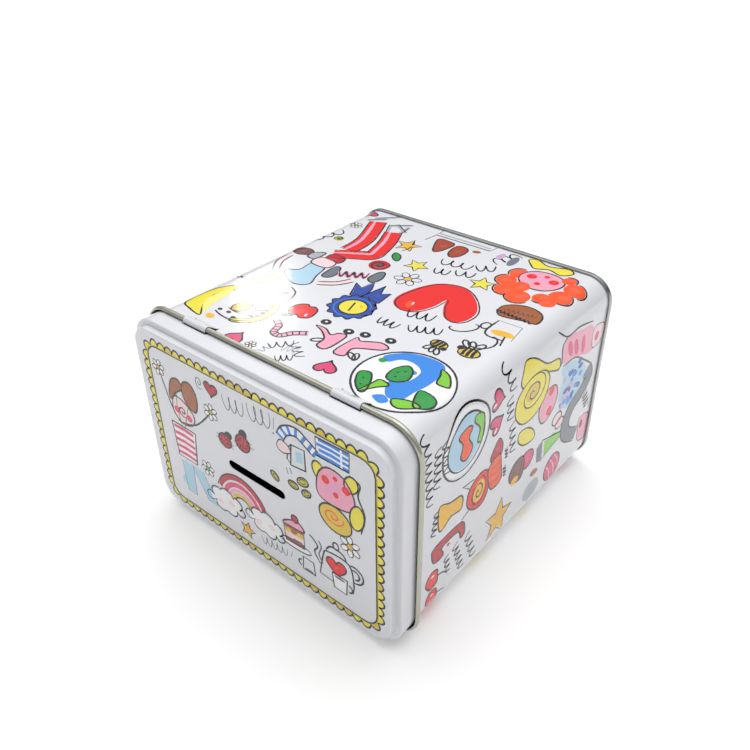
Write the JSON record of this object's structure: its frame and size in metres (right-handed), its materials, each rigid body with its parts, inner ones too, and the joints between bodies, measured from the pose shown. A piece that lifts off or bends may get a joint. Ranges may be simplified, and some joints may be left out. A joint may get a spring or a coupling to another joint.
{
  "type": "tin money box",
  "caption": "Rectangular tin money box lying on its front wall: rounded printed wall, seamed base, and a stepped lid with a coin slot, hinged on rolled tongues.",
  "frame": {"origin": "centre of the lowest face of the whole box's bounding box, at rest on its front wall", "axes": "+X along the lid's long side, +Z from the front wall up to the hinge wall, -Y out of the lid and +Y out of the base"},
  "size_m": [0.1526, 0.1596, 0.1086],
  "materials": {
    "printed_tin": "gloss",
    "bare_tin": "satin"
  },
  "bodies": {
    "box": {"body_wrap": "printed_tin", "base_plate": "bare_tin"},
    "lid": {"lid": "printed_tin"}
  },
  "joints": [
    {"name": "lid_hinge", "type": "hinge", "parent": "box", "child": "lid", "pos_m": [0, -0.06765, 0.10695], "axis": [-1, 0, 0], "range_deg": [0, 190]}
  ]
}
